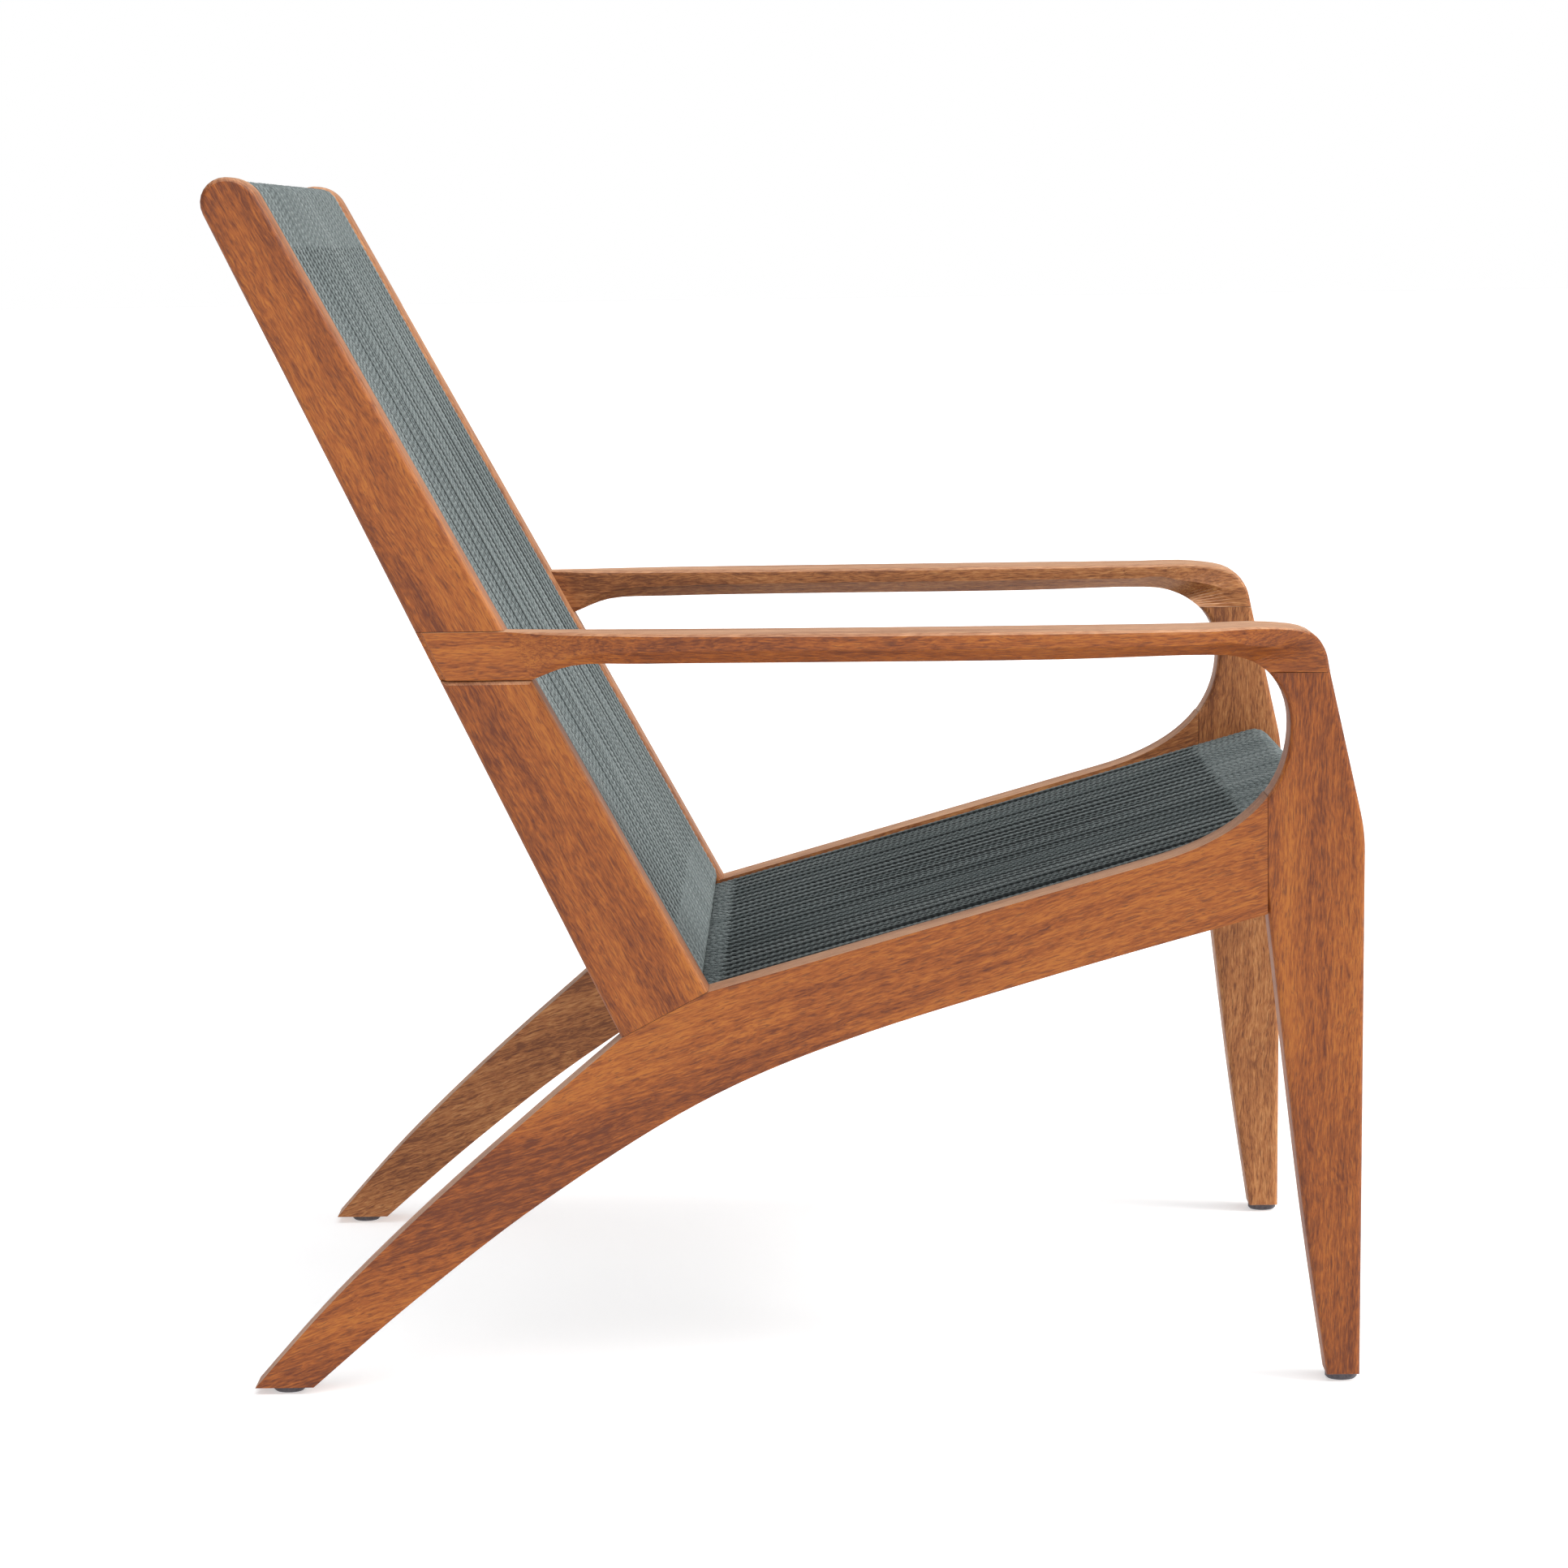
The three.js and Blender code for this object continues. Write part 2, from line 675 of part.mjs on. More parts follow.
const [crestRail, lowerBackRail, rearSeatRail, frontSeatRail] = CROSS_RAILS;
const BACK_REAR_DEPTH = RAIL_DEPTH + BACK_RAIL_THICKNESS + GAP;
const SEAT_UNDER_DEPTH = RAIL_DEPTH + SEAT_RAIL_THICKNESS + GAP;
add('back_cord_front', cordRun(lowerBackRail, crestRail, CORD_RECESS), cordMaterial());
add('back_cord_rear', cordRun(lowerBackRail, crestRail, BACK_REAR_DEPTH), cordMaterial());
add('seat_cord_top', cordRun(rearSeatRail, frontSeatRail, CORD_RECESS), cordMaterial());
add('seat_cord_under', cordRun(rearSeatRail, frontSeatRail, SEAT_UNDER_DEPTH), cordMaterial());

export default group;
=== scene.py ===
"""The looks of a hardwood lounge armchair with a seat and back of twisted cord.

Metres, +Z up, the chair faces -Y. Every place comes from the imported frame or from
the few sizes named below.
"""

import math
import random

import bmesh
import bpy
import numpy as np
from mathutils import Matrix, Vector
from mathutils.bvhtree import BVHTree


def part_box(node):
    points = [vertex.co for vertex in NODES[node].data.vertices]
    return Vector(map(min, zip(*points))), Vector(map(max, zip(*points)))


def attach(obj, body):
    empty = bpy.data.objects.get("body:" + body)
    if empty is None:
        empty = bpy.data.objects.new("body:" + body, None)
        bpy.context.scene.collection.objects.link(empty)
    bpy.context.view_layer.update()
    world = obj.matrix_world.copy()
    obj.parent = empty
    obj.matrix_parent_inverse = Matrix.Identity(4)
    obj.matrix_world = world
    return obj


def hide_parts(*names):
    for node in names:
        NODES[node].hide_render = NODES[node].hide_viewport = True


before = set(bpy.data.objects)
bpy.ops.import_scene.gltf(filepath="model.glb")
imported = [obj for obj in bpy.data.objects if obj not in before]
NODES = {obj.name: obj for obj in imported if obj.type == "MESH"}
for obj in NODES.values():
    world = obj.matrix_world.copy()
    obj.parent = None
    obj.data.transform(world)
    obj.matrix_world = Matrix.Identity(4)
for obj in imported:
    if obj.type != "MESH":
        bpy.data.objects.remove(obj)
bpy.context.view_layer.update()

SEED = 11
SIDES = ("right", "left")

# Edges of the wood
EDGE_ROUND = 0.0045
FOOT_ROUND = 0.4  # share of EDGE_ROUND under the feet
EDGE_SEGMENTS = 4
WELD_REACH = 2e-6  # corners of the CAD mesh this close are one
FLAT_ANGLE = 0.05  # degrees; faces that differ less are one flat face
JOINT_REACH = 0.0007  # an edge this close to another piece is a joint, and stays sharp
FOOT_HEIGHT = 0.006  # edges below this are at the foot of a leg
ROUNDED_ANGLE = 50  # degrees; an edge that turns less isn't rounded
FRAME_SHARP_ANGLE = 35  # degrees; an edge that turns more is shaded sharp
ARM_SHARP_ANGLE = 26

# Cord
CORD_DIAMETER = 0.005
CORD_LAY = 0.0146  # length in which a strand goes once round
STRANDS = 3
COLUMNS = 106  # cords side by side across a rail
GROUP = 4  # of each group of columns, LONG run on to the other rail
LONG = 2
FINE_STEP = 0.0012
COARSE_STEP = 0.0024  # on the hidden layer
CORD_POINTS = 12  # round the cord
PIECE_POINTS = 90000  # a mesh of cord is closed off once it has more points than this
GROOVE_DEPTH = 0.40  # between two strands, in cord radii
CROWN_WIDTH = 2.2  # the higher, the flatter the strands' crowns
CORNER_WINDOW = 0.0016  # half the length over which a line's corners are rounded
WOBBLE = 0.00012  # sideways, of a fill turn
PAIR_DRIFT = 0.0026  # most sideways shift of a pair of long cords
PAIR_SPREAD = 0.0050  # most extra distance between the two cords of a pair
LIFT_RANGE = (-0.0013, 0.0002)  # of a long cord, out of its layer
SLANT_REACH = 0.36  # each side of the hidden layer's middle, the share where a cord slants
CLEAR_REACH = 0.46  # each side of a layer's middle, the share that is clear of the rails
ANY_TURN = (0, 6)  # start angles in radians


def rgb(*values):
    return (*values, 1.0)


# ---------------------------------------------------------------- mesh helpers


def link(obj):
    bpy.context.scene.collection.objects.link(obj)
    return obj


def finish_piece(obj, slot, material, *nodes):
    obj.data.materials.clear()
    obj.data.materials.append(material)
    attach(obj, "root")
    if nodes:
        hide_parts(*nodes)


def tube_mesh(name, tubes):
    """One mesh of tubes, each as rope() returns it: (points, groove, flank, tone, along,
    closed). points has a row of places round the tube for every step along it, and
    groove, flank and along have a value for each place."""
    places, quads, caps = [], [], []
    values = {"groove": [], "flank": [], "tone": []}
    uv = []
    start = 0
    for points, groove, flank, tone, along, closed in tubes:
        steps, around = points.shape[:2]
        index = start + np.arange(steps * around).reshape(steps, around)
        ahead = np.roll(index, -1, 0) if closed else index[1:]
        here = index if closed else index[:-1]
        quads.append(np.stack([
            here, np.roll(here, -1, 1), np.roll(ahead, -1, 1), ahead,
        ], -1).reshape(-1, 4))
        if not closed:
            caps += [index[0][::-1], index[-1]]
        places.append(points.reshape(-1, 3))
        values["groove"].append(groove.reshape(-1))
        values["flank"].append(flank.reshape(-1))
        values["tone"].append(np.full(steps * around, tone))
        uv.append(along.reshape(-1, 2))
        start += steps * around
    mesh = bpy.data.meshes.new(name)
    co = np.concatenate(places)
    faces = np.concatenate(quads)
    corners = np.concatenate([faces.ravel(), *caps]) if caps else faces.ravel()
    sizes = np.concatenate([np.full(len(faces), 4), [len(c) for c in caps]]).astype(int)
    mesh.vertices.add(len(co))
    mesh.vertices.foreach_set("co", co.astype(np.float32).ravel())
    mesh.loops.add(len(corners))
    mesh.loops.foreach_set("vertex_index", corners.astype(np.int32))
    mesh.polygons.add(len(sizes))
    firsts = np.concatenate([[0], np.cumsum(sizes)[:-1]])
    mesh.polygons.foreach_set("loop_start", firsts.astype(np.int32))
    mesh.polygons.foreach_set("use_smooth", np.ones(len(sizes), bool))
    mesh.update(calc_edges=True)
    for key, lists in values.items():
        attribute = mesh.attributes.new(key, "FLOAT", "POINT")
        attribute.data.foreach_set("value", np.concatenate(lists).astype(np.float32))
    attribute = mesh.attributes.new("along", "FLOAT2", "POINT")
    attribute.data.foreach_set("vector", np.concatenate(uv).astype(np.float32).ravel())
    mesh.validate()
    return link(bpy.data.objects.new(name, mesh))


# ---------------------------------------------------------------- wood pieces


def whole_faces(node):
    """The node's mesh with its corners joined and its flat faces in one piece."""
    mesh = bmesh.new()
    mesh.from_mesh(NODES[node].data)
    bmesh.ops.remove_doubles(mesh, verts=mesh.verts, dist=WELD_REACH)
    bmesh.ops.dissolve_limit(
        mesh, angle_limit=math.radians(FLAT_ANGLE), verts=mesh.verts, edges=mesh.edges
    )
    return mesh


def neighbours_of(node):
    """Search trees of the solid pieces that node could touch."""
    words = ("stile", "rail", "leg", "armrest", "glide")
    trees = []
    for name, obj in NODES.items():
        if name != node and any(w in name for w in words) and "cord" not in name:
            bm = bmesh.new()
            bm.from_mesh(obj.data)
            trees.append(BVHTree.FromBMesh(bm))
            bm.free()
    return trees


def touches(point, trees):
    return any(t.find_nearest(point, JOINT_REACH)[0] is not None for t in trees)


def plain_mesh(bm, name):
    """A mesh of bm's points and faces only."""
    bm.verts.index_update()
    mesh = bpy.data.meshes.new(name)
    faces = [[v.index for v in f.verts] for f in bm.faces]
    mesh.from_pydata([v.co.copy() for v in bm.verts], [], faces)
    return mesh


def shade(obj, angle):
    mesh = obj.data
    mesh.polygons.foreach_set("use_smooth", [True] * len(mesh.polygons))
    mesh.set_sharp_from_angle(angle=math.radians(angle))
    weights = obj.modifiers.new("weights", "WEIGHTED_NORMAL")
    weights.keep_sharp = True
    weights.weight = 90


def flatten(obj):
    """Turns obj's modifiers into its mesh."""
    graph = bpy.context.evaluated_depsgraph_get()
    old = obj.data
    obj.data = bpy.data.meshes.new_from_object(obj.evaluated_get(graph))
    obj.modifiers.clear()
    bpy.data.meshes.remove(old)


def frame_piece(node):
    """A sawn piece of a side frame, with rounded edges wherever it isn't joined."""
    bm = whole_faces(node)
    trees = neighbours_of(node)
    weights = []
    for edge in bm.edges:
        middle = (edge.verts[0].co + edge.verts[1].co) / 2
        sharp = edge.is_convex and edge.calc_face_angle(0) > math.radians(ROUNDED_ANGLE)
        if not sharp or touches(middle, trees):
            weights.append(0.0)
        elif middle.z < FOOT_HEIGHT:
            weights.append(FOOT_ROUND)
        else:
            weights.append(1.0)
    bm.edges.index_update()
    pairs = {tuple(sorted(v.index for v in e.verts)): w for e, w in zip(bm.edges, weights)}
    obj = link(bpy.data.objects.new(node + "_wood", plain_mesh(bm, node + "_wood")))
    bm.free()
    layer = obj.data.attributes.new("bevel_weight_edge", "FLOAT", "EDGE")
    for edge in obj.data.edges:
        layer.data[edge.index].value = pairs[tuple(sorted(edge.vertices))]
    bevel = obj.modifiers.new("edges", "BEVEL")
    bevel.limit_method = "WEIGHT"
    bevel.width = EDGE_ROUND
    bevel.segments = EDGE_SEGMENTS
    bevel.use_clamp_overlap = True
    flatten(obj)
    shade(obj, FRAME_SHARP_ANGLE)
    return obj


def arm_piece(node):
    bm = whole_faces(node)
    obj = link(bpy.data.objects.new(node + "_wood", plain_mesh(bm, node + "_wood")))
    bm.free()
    shade(obj, ARM_SHARP_ANGLE)
    return obj


# ---------------------------------------------------------------- cord paths


def wrap_line(node):
    """The middle line of the cord round a rail, as points (y, z) in order."""
    co = np.array([v.co for v in NODES[node].data.vertices])
    end = co[co[:, 0] < co[:, 0].min() + 1e-5][:, 1:]
    end = np.unique(np.round(end, 6), axis=0)
    # The middle of the cord lies half a cord inside the outer loop.
    return inset(outer_loop(end), CORD_DIAMETER / 2)


def outer_loop(points):
    """The convex outline of some points, anticlockwise."""
    points = sorted(map(tuple, points))

    def half(sequence):
        chain = []
        for p in sequence:
            while len(chain) > 1 and cross(chain[-2], chain[-1], p) <= 1e-12:
                chain.pop()
            chain.append(p)
        return chain[:-1]

    return np.array(half(points) + half(points[::-1]))


def cross(a, b, c):
    return (b[0] - a[0]) * (c[1] - a[1]) - (b[1] - a[1]) * (c[0] - a[0])


def inset(loop, distance):
    before, after = np.roll(loop, 1, 0), np.roll(loop, -1, 0)

    def inward(edge):
        unit = edge / np.linalg.norm(edge, axis=1)[:, None]
        return np.stack([-unit[:, 1], unit[:, 0]], 1)

    a, b = inward(loop - before), inward(after - loop)
    mitre = a + b
    mitre /= (1 + (a * b).sum(1))[:, None]
    return loop + distance * mitre


class Loop:
    """A closed line in a plane across the chair, by its length s."""

    def __init__(self, points, start):
        closed = np.vstack([points, points[:1]])
        lengths = np.linalg.norm(np.diff(closed, axis=0), axis=1)
        self.s = np.concatenate([[0], np.cumsum(lengths)])
        self.length = self.s[-1]
        self.points = closed
        dense = np.linspace(0, self.length, 4001)[:-1]
        self.offset = 0.0
        nearest = np.linalg.norm(self.at(dense) - np.array(start), axis=1).argmin()
        self.offset = dense[nearest]

    def at(self, s):
        s = (np.asarray(s) + self.offset) % self.length
        return np.stack([np.interp(s, self.s, self.points[:, i]) for i in (0, 1)], 1)

    def smoothed(self, s):
        """Places with the corners of the line rounded a little."""
        return sum(self.at(s + d * CORNER_WINDOW) for d in (-1, -0.5, 0, 0.5, 1)) / 5


def column_places(half_width):
    pitch = 2 * half_width / COLUMNS
    return -half_width + pitch * (np.arange(COLUMNS) + 0.5)


def lobe(angle):
    """How far the strands stand out from the cord's middle at an angle from a crown."""
    turn = np.abs((angle + math.pi / STRANDS) % (2 * math.pi / STRANDS) - math.pi / STRANDS)
    share = turn / (math.pi / STRANDS)
    return 1 - GROOVE_DEPTH * share**CROWN_WIDTH


def rope(places, s, turn, tone, closed):
    """The surface of a twisted cord along places, as one tube for tube_mesh."""
    if closed:
        ahead = np.roll(places, -1, 0) - np.roll(places, 1, 0)
    else:
        ahead = np.gradient(places, axis=0)
    ahead /= np.linalg.norm(ahead, axis=1)[:, None]
    side = np.tile([1.0, 0.0, 0.0], (len(places), 1))
    side -= ahead * (side * ahead).sum(1)[:, None]
    side /= np.linalg.norm(side, axis=1)[:, None]
    inward = np.cross(side, ahead)
    angle = np.arange(CORD_POINTS) * 2 * math.pi / CORD_POINTS
    phase = 2 * math.pi * s / CORD_LAY + turn
    # The points turn with the strands, so that their crowns stay crisp.
    theta = phase[:, None] + angle[None, :]
    shape = lobe(angle)[None, :] * (CORD_DIAMETER / 2)
    points = (
        places[:, None, :]
        + inward[:, None, :] * (np.cos(theta) * shape)[:, :, None]
        + side[:, None, :] * (np.sin(theta) * shape)[:, :, None]
    )
    groove = np.broadcast_to((1 - lobe(angle)) / GROOVE_DEPTH, theta.shape)
    along = np.stack(np.broadcast_arrays(s[:, None], angle[None, :]), -1)
    flank = 1 + np.cos(theta)
    return points, groove, flank, tone, along, closed


def fill_rings(node, half_width, randoms):
    """The turns round one rail that fill the room between the long cords."""
    line = wrap_line(node)
    loop = Loop(line, line[0])
    turns = round(loop.length / CORD_LAY)
    steps = int(loop.length / FINE_STEP)
    s = np.arange(steps) * loop.length / steps
    flat = loop.smoothed(s)
    fitted = s * (turns * CORD_LAY / loop.length)
    rings = []
    for column, x in enumerate(column_places(half_width)):
        if column % GROUP < LONG:
            continue
        wobble = WOBBLE * np.sin(2 * math.pi * s / loop.length + randoms.uniform(*ANY_TURN))
        places = np.column_stack([x + wobble, flat])
        tone = randoms.gauss(0, 1)
        rings.append(rope(places, fitted, randoms.uniform(*ANY_TURN), tone, True))
    return rings


def long_cords(low_node, high_node, back_node, half_width, randoms):
    """The cord wound round both rails, one open tube for each turn."""
    low = wrap_line(low_node)
    high = wrap_line(high_node)
    hull = outer_loop(np.vstack([low, high]))
    lo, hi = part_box(back_node)
    middle = ((lo + hi) / 2)[1:]
    loop = Loop(hull, middle)
    run = hi - lo
    layer_length = math.hypot(run.y, run.z)
    reach = SLANT_REACH * layer_length
    clear = CLEAR_REACH * layer_length
    places_x = [x for c, x in enumerate(column_places(half_width)) if c % GROUP < LONG]
    s = np.concatenate([
        np.arange(0, clear, COARSE_STEP),
        np.arange(clear, loop.length - clear, FINE_STEP),
        np.arange(loop.length - clear, loop.length + COARSE_STEP / 2, COARSE_STEP),
    ])
    flat = loop.smoothed(s)
    tangent = np.gradient(flat, axis=0)
    tangent /= np.linalg.norm(tangent, axis=1)[:, None]
    outward = np.stack([tangent[:, 1], -tangent[:, 0]], 1)
    centre_s = loop.length / 2
    front = np.clip(1 - np.abs(s - centre_s) / clear, 0, 1)
    bow = np.sin(front * math.pi / 2)
    tubes = []
    drift = 0.0
    for i, x in enumerate(places_x):
        before = places_x[max(i - 1, 0)]
        after = places_x[min(i + 1, len(places_x) - 1)]
        if i % LONG == 0:
            drift = randoms.uniform(-PAIR_DRIFT, PAIR_DRIFT)
            spread = randoms.uniform(0.0, PAIR_SPREAD)
        part = spread * (0.5 if i % LONG else -0.5)
        across = np.full(len(s), x) + bow * (drift + part)
        across = np.where(s < reach, before + (x - before) * (0.5 + s / reach / 2), across)
        rest = (s - (loop.length - reach)) / reach
        across = np.where(rest > 0, x + (after - x) * rest / 2, across)
        lift = bow * randoms.uniform(*LIFT_RANGE)
        places = np.column_stack([across, flat + outward * lift[:, None]])
        tone = randoms.gauss(0, 1)
        tubes.append(rope(places, s, randoms.uniform(*ANY_TURN), tone, False))
    return tubes


def add_cords(name, tubes, material, *nodes):
    """Meshes of some tubes, each closed off once it passes PIECE_POINTS points; the first
    replaces nodes. Meshes of some tubes, each small enough to export; the first replaces
    nodes.
    """
    parcel, count, number = [], 0, 1
    for i, tube in enumerate(tubes):
        parcel.append(tube)
        count += tube[0].shape[0] * tube[0].shape[1]
        if count > PIECE_POINTS or i == len(tubes) - 1:
            obj = tube_mesh(f"{name}_{number}", parcel)
            finish_piece(obj, "cord", material, *nodes)
            parcel, count, number = [], 0, number + 1


# ---------------------------------------------------------------- materials


class Nodes:
    """A new material and short ways to fill its node tree."""

    def __init__(self, name):
        self.material = bpy.data.materials.new(name)
        self.material.use_nodes = True
        self.tree = self.material.node_tree
        self.surface = self.tree.nodes["Principled BSDF"]

    def add(self, kind, inputs=None, **settings):
        node = self.tree.nodes.new("ShaderNode" + kind)
        for key, value in settings.items():
            setattr(node, key, value)
        for key, value in (inputs or {}).items():
            self.put(node.inputs[key], value)
        return node

    def put(self, socket, value):
        if isinstance(value, bpy.types.NodeSocket):
            self.tree.links.new(value, socket)
        else:
            socket.default_value = value

    def set(self, **values):
        names = {"colour": "Base Color", "roughness": "Roughness", "normal": "Normal",
                 "metallic": "Metallic", "specular": "Specular IOR Level"}
        for key, value in values.items():
            self.put(self.surface.inputs[names[key]], value)

    def maths(self, operation, a, b=0.0, clamp=False):
        return self.add("Math", {0: a, 1: b}, operation=operation, use_clamp=clamp).outputs[0]

    def noise(self, vector, scale=1.0, detail=2.0, roughness=0.5):
        node = self.add("TexNoise", {"Vector": vector, "Scale": scale, "Detail": detail,
                                     "Roughness": roughness})
        return node.outputs["Fac"]

    def ramp(self, value, stops):
        node = self.add("ValToRGB", {"Fac": value})
        elements = node.color_ramp.elements
        while len(elements) < len(stops):
            elements.new(0.5)
        for element, (position, colour) in zip(elements, stops):
            element.position = position
            element.color = (*colour, 1)
        return node.outputs["Color"]

    def mix(self, factor, a, b, blend="MIX"):
        node = self.add("Mix", data_type="RGBA", blend_type=blend)
        self.put(node.inputs[0], factor)
        self.put(node.inputs[6], a)
        self.put(node.inputs[7], b)
        return node.outputs[2]

    def stretch(self, vector, scale):
        return self.add("Mapping", {"Vector": vector, "Scale": scale}).outputs[0]

    def bump(self, height, strength, distance):
        node = self.add("Bump", {"Height": height, "Strength": strength, "Distance": distance})
        return node.outputs[0]


# Darkest, middle and lightest colour of the frame's wood, and the paler colours of painted top
# light on wood that faces up
WOOD_SHADES = ((0.130, 0.031, 0.007), (0.290, 0.086, 0.023), (0.430, 0.160, 0.052))
# Colour scales per side: the right side's give the wood its colour; the left side's make the far
# side lighter and paler, as painted light for how light falls there.
WOOD_TINT_AND_SIDE_LIGHT = {"right": (0.82, 0.68, 0.26), "left": (1.12, 1.32, 1.35)}
PAINTED_TOP_LIGHT_SHADES = ((0.40, 0.190, 0.095), (0.58, 0.335, 0.195), (0.74, 0.475, 0.300))
SHADE_PLACES = (0.41, 0.50, 0.60)  # of the three shades, on the scale of the grain
PORE_COLOUR = rgb(0.08, 0.022, 0.008)
PORE_SHARE = 0.60  # most that a pore darkens
PAINTED_TOP_LIGHT_SHARE = 0.60  # most that painted top light lightens a face turned up
FACING_START = 0.25  # upward part of a face's normal at which painted top light starts


def wood_material(name, seed, grain, tint_and_side_light):
    """Oiled reddish hardwood, lightened with painted top light where a face turns up. grain is
    the angle of the grain above the floor, in degrees, as the chair's right side shows it; the
    last argument scales the wood's colours, and for the left side also paints it lighter and
    paler as painted light."""
    n = Nodes(name)
    coords = n.add("TexCoord").outputs["Object"]
    turned = n.add("Mapping", {
        "Vector": coords,
        "Location": (seed * 0.73, seed * 0.41, seed * 0.57),
        "Rotation": (math.radians(grain), 0, 0),
    }).outputs[0]
    sway = n.noise(n.stretch(turned, (24, 9, 24)), detail=1.5)
    shift = n.maths("MULTIPLY", n.maths("SUBTRACT", sway, 0.5), 0.012)
    curl = n.noise(n.stretch(turned, (140, 70, 140)), detail=1.0)
    shift = n.maths("ADD", shift, n.maths("MULTIPLY", n.maths("SUBTRACT", curl, 0.5), 0.0022))
    offset = n.add("CombineXYZ", {"X": shift, "Z": shift}).outputs[0]
    wavy = n.add("VectorMath", {0: turned, 1: offset}, operation="ADD").outputs[0]

    tone = n.noise(n.stretch(wavy, (26, 2.6, 26)), detail=3, roughness=0.6)
    streak = n.noise(n.stretch(wavy, (230, 8, 230)), detail=4, roughness=0.62)
    fleck = n.noise(n.stretch(wavy, (900, 100, 900)), detail=3.0, roughness=0.65)
    pore = n.noise(n.stretch(wavy, (1500, 85, 1500)), detail=1, roughness=0.5)

    dark, middle, light = (tuple(a * b for a, b in zip(shade, tint_and_side_light)) for shade in WOOD_SHADES)
    value = n.maths("MULTIPLY", tone, 0.34)
    value = n.maths("ADD", value, n.maths("MULTIPLY", streak, 0.24))
    value = n.maths("ADD", value, n.maths("MULTIPLY", fleck, 0.42))
    base = n.ramp(value, list(zip(SHADE_PLACES, (dark, middle, light))))
    lines = n.maths("MULTIPLY", n.maths("SUBTRACT", 0.42, pore), 9.0, clamp=True)
    colour = n.mix(n.maths("MULTIPLY", lines, PORE_SHARE), base, PORE_COLOUR)
    # Painted top light: faces that turn up are mixed towards paler shades, standing in for light
    # from above.
    normal = n.add("NewGeometry").outputs["True Normal"]
    facing = n.add("SeparateXYZ", {0: normal}).outputs["Z"]
    facing = n.maths("MULTIPLY", n.maths("SUBTRACT", facing, FACING_START), 1.5, clamp=True)
    painted_top_light = n.ramp(value, list(zip(SHADE_PLACES, PAINTED_TOP_LIGHT_SHADES)))
    colour = n.mix(n.maths("MULTIPLY", facing, PAINTED_TOP_LIGHT_SHARE), colour, painted_top_light)
    rough = n.maths("ADD", 0.42, n.maths("MULTIPLY", fleck, 0.22))
    height = n.maths("SUBTRACT", n.maths("MULTIPLY", fleck, 0.6), n.maths("MULTIPLY", lines, 0.7))
    n.set(colour=colour, roughness=rough, normal=n.bump(height, 0.4, 0.0004), specular=0.38)
    return n.material


def cord_material(name, shallow, deep, darkest, pale=1.0):
    """Grey-green twisted cord with fine fibres, with painted shade in the grooves between its
    strands and on its flanks. The flanks darken between shallow and deep, which are depths
    under the crown in cord radii, as far as the share darkest; pale scales its colour."""
    n = Nodes(name)
    tone = n.add("Attribute", attribute_name="tone").outputs["Fac"]
    groove = n.add("Attribute", attribute_name="groove").outputs["Fac"]
    flank = n.add("Attribute", attribute_name="flank").outputs["Fac"]
    along = n.add("Attribute", attribute_name="along").outputs["Vector"]
    coords = n.add("TexCoord").outputs["Object"]
    fibre = n.noise(n.stretch(along, (900, 6, 1)), detail=2)
    speckle = n.noise(coords, scale=700, detail=2)
    patch = n.noise(coords, scale=9, detail=2)
    value = n.maths("ADD", 0.5, n.maths("MULTIPLY", tone, 0.12))
    value = n.maths("ADD", value, n.maths("MULTIPLY", n.maths("SUBTRACT", patch, 0.5), 0.5))
    value = n.maths("ADD", value, n.maths("MULTIPLY", n.maths("SUBTRACT", speckle, 0.5), 0.8))
    shades = ((0.130, 0.158, 0.158), (0.225, 0.262, 0.260), (0.350, 0.390, 0.385))
    dull, plain, bright = (tuple(pale * part for part in shade) for shade in shades)
    base = n.ramp(value, [(0.0, dull), (0.5, plain), (1.0, bright)])
    # Painted shade: the grooves between strands and the flanks below the crown are mixed towards
    # near black, standing in for the shade that falls there.
    painted_groove_shade = n.maths("MULTIPLY", n.maths("POWER", groove, 1.1), 0.95)
    shadow = n.maths("DIVIDE", n.maths("SUBTRACT", flank, shallow), deep - shallow, clamp=True)
    painted_shade = n.maths("MAXIMUM", painted_groove_shade, n.maths("MULTIPLY", shadow, darkest))
    colour = n.mix(painted_shade, base, rgb(0.006, 0.008, 0.009))
    height = n.maths("ADD", fibre, n.maths("MULTIPLY", speckle, 0.6))
    n.set(colour=colour, roughness=0.72, normal=n.bump(height, 0.4, 0.0003), specular=0.2)
    return n.material


def hidden_wood_material():
    n = Nodes("joint_wood")
    coords = n.add("TexCoord").outputs["Object"]
    streak = n.noise(n.stretch(coords, (60, 420, 420)), detail=4)
    colour = n.ramp(streak, [(0.3, (0.36, 0.22, 0.11)), (0.7, (0.56, 0.38, 0.21))])
    n.set(colour=colour, roughness=0.6, normal=n.bump(streak, 0.2, 0.0003))
    return n.material


def rail_wood_material():
    n = Nodes("rail_wood")
    coords = n.add("TexCoord").outputs["Object"]
    streak = n.noise(n.stretch(coords, (8, 260, 260)), detail=4, roughness=0.6)
    colour = n.ramp(streak, [(0.35, (0.22, 0.07, 0.022)), (0.65, (0.42, 0.16, 0.06))])
    n.set(colour=colour, roughness=0.5, normal=n.bump(streak, 0.2, 0.0003))
    return n.material


def plastic_material():
    n = Nodes("glide_plastic")
    coords = n.add("TexCoord").outputs["Object"]
    scuff = n.noise(coords, scale=420, detail=4, roughness=0.7)
    colour = n.ramp(scuff, [(0.35, (0.060, 0.052, 0.062)), (0.7, (0.115, 0.105, 0.118))])
    rough = n.maths("ADD", 0.38, n.maths("MULTIPLY", scuff, 0.3))
    n.set(colour=colour, roughness=rough, normal=n.bump(scuff, 0.15, 0.0002))
    return n.material


